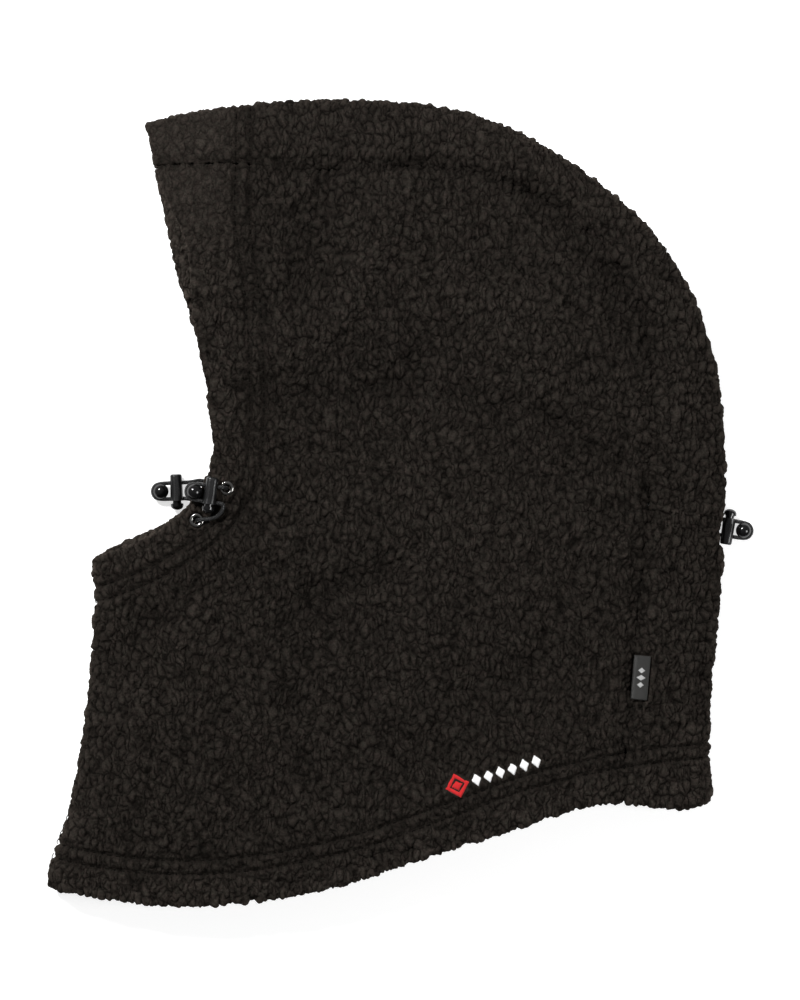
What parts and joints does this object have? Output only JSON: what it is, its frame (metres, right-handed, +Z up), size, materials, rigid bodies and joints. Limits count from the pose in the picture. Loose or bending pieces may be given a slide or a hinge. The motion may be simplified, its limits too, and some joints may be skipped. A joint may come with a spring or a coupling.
{
  "type": "balaclava hood",
  "caption": "Pile-fleece balaclava hood with a face opening, drawcord channels and cord locks, laid flat on its side.",
  "frame": {"origin": "under the middle of the fleece body, on the table that the flat hood lies on", "axes": "+X from the face opening towards the back of the head, +Y from the neck hem towards the crown, +Z up from the table, out of the hood's left side"},
  "size_m": [0.3548, 0.4024, 0.0453],
  "materials": {
    "pile_fleece": "dark brown-black curly pile fleece, fully matt",
    "channel_tape": "woven polyester tape, matt",
    "seam_thread": "spun polyester thread",
    "elastic_cord": "braided black elastic cord",
    "bead_plastic": "glossy black moulded plastic",
    "lock_plastic": "black moulded plastic, satin body and polished head",
    "eyelet_metal": "nickel-plated brass",
    "spring_steel": "spring wire",
    "emblem_thread": "red embroidery thread, slight sheen",
    "row_thread": "white embroidery thread, slight sheen",
    "label_satin": "woven satin label, folded double"
  },
  "bodies": {
    "hood": {"left_side_panel": "pile_fleece", "right_side_panel": "pile_fleece", "crown_panel": "pile_fleece", "rear_cord_channel": "channel_tape", "face_hem_stitching": "seam_thread", "neck_hem_stitching": "seam_thread", "crown_seam_stitching": "seam_thread", "front_seam_stitching": "seam_thread", "rear_channel_stitching": "seam_thread", "embroidered_emblem": "emblem_thread", "embroidered_row": "row_thread", "face_drawcord_upper": "elastic_cord", "face_drawcord_lower": "elastic_cord", "rear_drawcord_left": "elastic_cord", "rear_drawcord_right": "elastic_cord", "left_cord_loop": "elastic_cord", "right_cord_loop": "elastic_cord", "rear_cord_loop": "elastic_cord", "left_cord_bead": "bead_plastic", "right_cord_bead": "bead_plastic", "rear_cord_bead": "bead_plastic", "left_eyelets": "eyelet_metal", "right_eyelets": "eyelet_metal", "rear_eyelets": "eyelet_metal", "left_eyelet_washers": "eyelet_metal", "right_eyelet_washers": "eyelet_metal", "rear_eyelet_washers": "eyelet_metal"},
    "label": {"woven_label": "label_satin"},
    "left_lock": {"left_lock_barrel": "lock_plastic", "left_lock_spring": "spring_steel"},
    "left_plunger": {"left_lock_plunger": "lock_plastic"},
    "right_lock": {"right_lock_barrel": "lock_plastic", "right_lock_spring": "spring_steel"},
    "right_plunger": {"right_lock_plunger": "lock_plastic"},
    "rear_lock": {"rear_lock_barrel": "lock_plastic", "rear_lock_spring": "spring_steel"},
    "rear_plunger": {"rear_lock_plunger": "lock_plastic"}
  },
  "joints": [
    {"name": "left_lock_slide", "type": "slide", "parent": "hood", "child": "left_lock", "axis": [0.9893, -0.1461, 0], "range_m": [-0.0005, 0.0015]},
    {"name": "left_plunger_press", "type": "slide", "parent": "left_lock", "child": "left_plunger", "axis": [0.1461, 0.9893, 0], "range_m": [0, 0.0012], "stiffness_N_per_m": 400, "springref_m": -0.0012, "deforming": ["left_lock_spring"]},
    {"name": "right_lock_slide", "type": "slide", "parent": "hood", "child": "right_lock", "axis": [0.9991, 0.0419, 0], "range_m": [-0.0005, 0.0015]},
    {"name": "right_plunger_press", "type": "slide", "parent": "right_lock", "child": "right_plunger", "axis": [-0.0419, 0.9991, 0], "range_m": [0, 0.0012], "stiffness_N_per_m": 400, "springref_m": -0.0012, "deforming": ["right_lock_spring"]},
    {"name": "rear_lock_slide", "type": "slide", "parent": "hood", "child": "rear_lock", "axis": [-0.9882, 0.153, 0], "range_m": [-0.0005, 0.001]},
    {"name": "rear_plunger_press", "type": "slide", "parent": "rear_lock", "child": "rear_plunger", "axis": [-0.153, -0.9882, 0], "range_m": [0, 0.0012], "stiffness_N_per_m": 400, "springref_m": -0.0012, "deforming": ["rear_lock_spring"]},
    {"name": "label_flap", "type": "hinge", "parent": "hood", "child": "label", "pos_m": [0.1222, -0.088, 0.03366], "axis": [-0.0515, -0.9986, 0.0093], "range_deg": [0, 115]}
  ]
}
